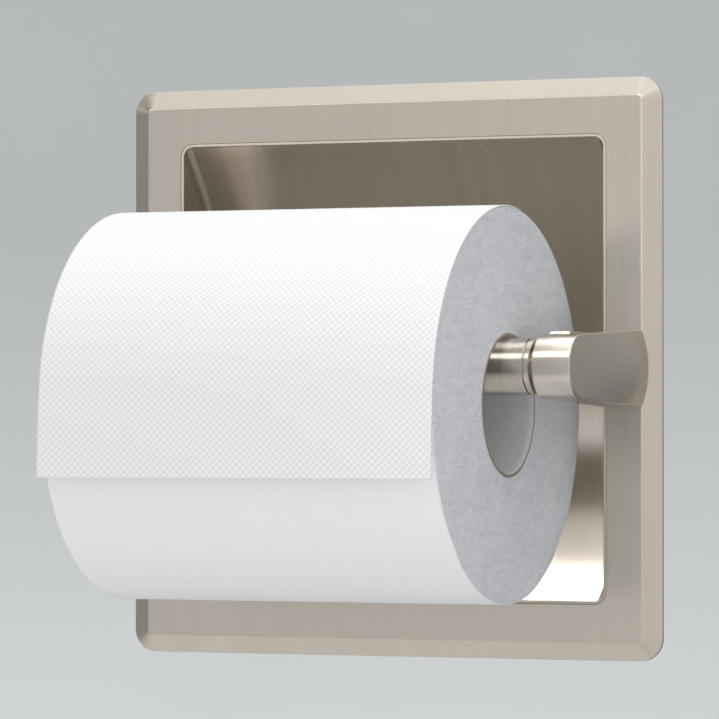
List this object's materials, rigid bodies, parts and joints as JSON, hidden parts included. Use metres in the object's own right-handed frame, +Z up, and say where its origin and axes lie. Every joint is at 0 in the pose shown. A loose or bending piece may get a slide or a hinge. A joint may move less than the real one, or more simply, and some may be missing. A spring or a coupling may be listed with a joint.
{
  "type": "recessed toilet paper holder",
  "caption": "Recessed wall holder: square bevelled flange round a scooped pocket, two arms with a sprung telescoping roller, and a paper roll hanging on it.",
  "frame": {"origin": "centre of the square flange, on the wall plane that the flange's rim rests on", "axes": "+X to the right as seen from the room, +Y into the wall, +Z up"},
  "size_m": [0.1588, 0.1545, 0.1588],
  "materials": {
    "brushed_nickel": "brushed satin nickel, straight vertical grain",
    "satin_nickel": "satin nickel, fine grain along the arm",
    "turned_nickel": "brushed satin nickel, grain round the roller",
    "zinc_steel": "bright zinc plate",
    "spring_steel": "drawn spring wire",
    "nylon": "moulded nylon",
    "foam": "closed-cell foam",
    "cardboard": "grey-brown board",
    "paper": "embossed tissue"
  },
  "bodies": {
    "housing": {"faceplate": "brushed_nickel", "recess_pocket": "brushed_nickel", "right_post": "satin_nickel", "left_post": "satin_nickel", "post_screws": "zinc_steel", "post_washers": "zinc_steel", "clamp_washers": "zinc_steel", "foam_seal": "foam"},
    "clamp": {"clamp_bracket": "zinc_steel", "clamp_nuts": "zinc_steel"},
    "screw_right": {"clamp_screw_right": "zinc_steel"},
    "screw_left": {"clamp_screw_left": "zinc_steel"},
    "roller_large": {"roller_outer_tube": "turned_nickel", "roller_cap_right": "turned_nickel", "roller_ring_right": "turned_nickel", "roller_guide_bush": "nylon", "roller_spring": "spring_steel"},
    "roller_small": {"roller_inner_tube": "turned_nickel", "roller_cap_left": "turned_nickel", "roller_ring_left": "turned_nickel"},
    "roll": {"cardboard_core": "cardboard", "paper_roll": "paper", "loose_sheet": "paper"}
  },
  "joints": [
    {"name": "roller_spin", "type": "hinge", "parent": "housing", "child": "roller_large", "pos_m": [0, -0.0498, 0], "axis": [1, 0, 0], "continuous": true},
    {"name": "roller_compress", "type": "slide", "parent": "roller_large", "child": "roller_small", "axis": [1, 0, 0], "range_m": [0, 0.009], "stiffness_N_per_m": 200, "springref_m": -0.03, "deforming": ["roller_spring"]},
    {"name": "roll_spin", "type": "hinge", "parent": "housing", "child": "roll", "pos_m": [0, -0.0498, -0.0102], "axis": [1, 0, 0], "continuous": true},
    {"name": "clamp_travel", "type": "slide", "parent": "housing", "child": "clamp", "axis": [0, 1, 0], "range_m": [-0.0033, 0.0096]},
    {"name": "screw_right_turn", "type": "hinge", "parent": "housing", "child": "screw_right", "pos_m": [0.0381, 0.0247, 0], "axis": [0, 1, 0], "range_deg": [-4400, 1540]},
    {"name": "screw_left_turn", "type": "hinge", "parent": "housing", "child": "screw_left", "pos_m": [-0.0381, 0.0247, 0], "axis": [0, 1, 0], "range_deg": [-4400, 1540]}
  ],
  "couplings": [
    {"joint": "screw_right_turn", "follows": "clamp_travel", "rad_per_m": -7916},
    {"joint": "screw_left_turn", "follows": "clamp_travel", "rad_per_m": -7916}
  ]
}
